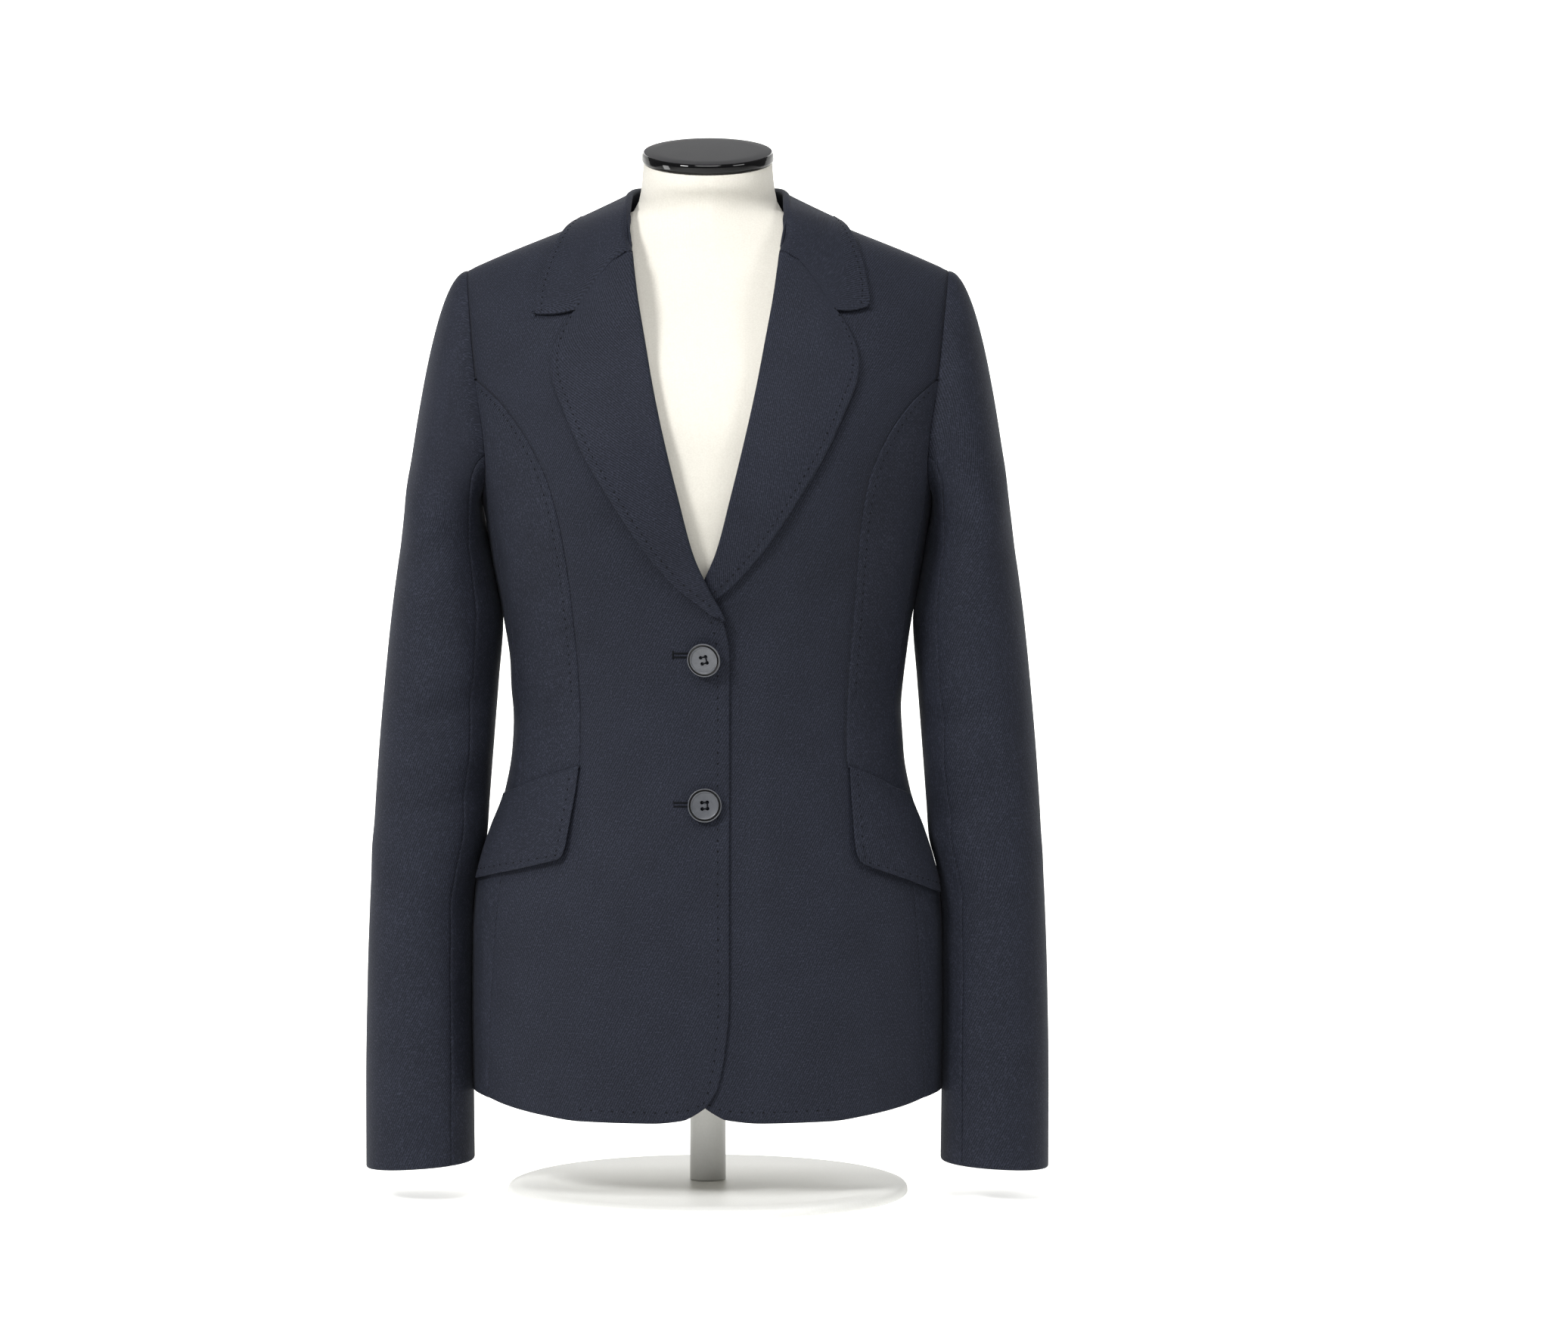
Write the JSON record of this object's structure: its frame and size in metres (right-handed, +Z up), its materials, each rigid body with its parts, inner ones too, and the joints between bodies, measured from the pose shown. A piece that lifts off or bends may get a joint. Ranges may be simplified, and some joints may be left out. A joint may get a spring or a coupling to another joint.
{
  "type": "suit jacket on a dress form",
  "caption": "Dark navy twill suit jacket, single-breasted, with notched lapels, slanted flap pockets and princess seams, buttoned on a capped limbless dress form with a round base.",
  "frame": {"origin": "on the floor, at the centre of the base's flat underside", "axes": "+Z up the pole, -Y out of the jacket's buttoned front, +X towards the wearer's left"},
  "size_m": [0.4756, 0.28, 0.7441],
  "materials": {
    "suiting": "smooth worsted twill, matt",
    "lapel_facing": "smooth worsted twill, matt, pressed",
    "button": "satin polyester",
    "form_jersey": "plain cotton jersey",
    "cap_lacquer": "black gloss lacquer",
    "stand_steel": "pale powder coat, satin"
  },
  "bodies": {
    "root": {"back_left": "suiting", "back_right": "suiting", "base": "stand_steel", "button_lower": "button", "button_upper": "button", "collar": "suiting", "dress_form": "form_jersey", "flap_left": "suiting", "flap_right": "suiting", "front_left": "suiting", "front_right": "suiting", "lapel_left": "lapel_facing", "lapel_right": "lapel_facing", "neck_cap": "cap_lacquer", "pole": "stand_steel", "side_front_left": "suiting", "side_front_right": "suiting", "side_panel_left": "suiting", "side_panel_right": "suiting", "top_sleeve_left": "suiting", "top_sleeve_right": "suiting", "under_sleeve_left": "suiting", "under_sleeve_right": "suiting"}
  },
  "joints": []
}
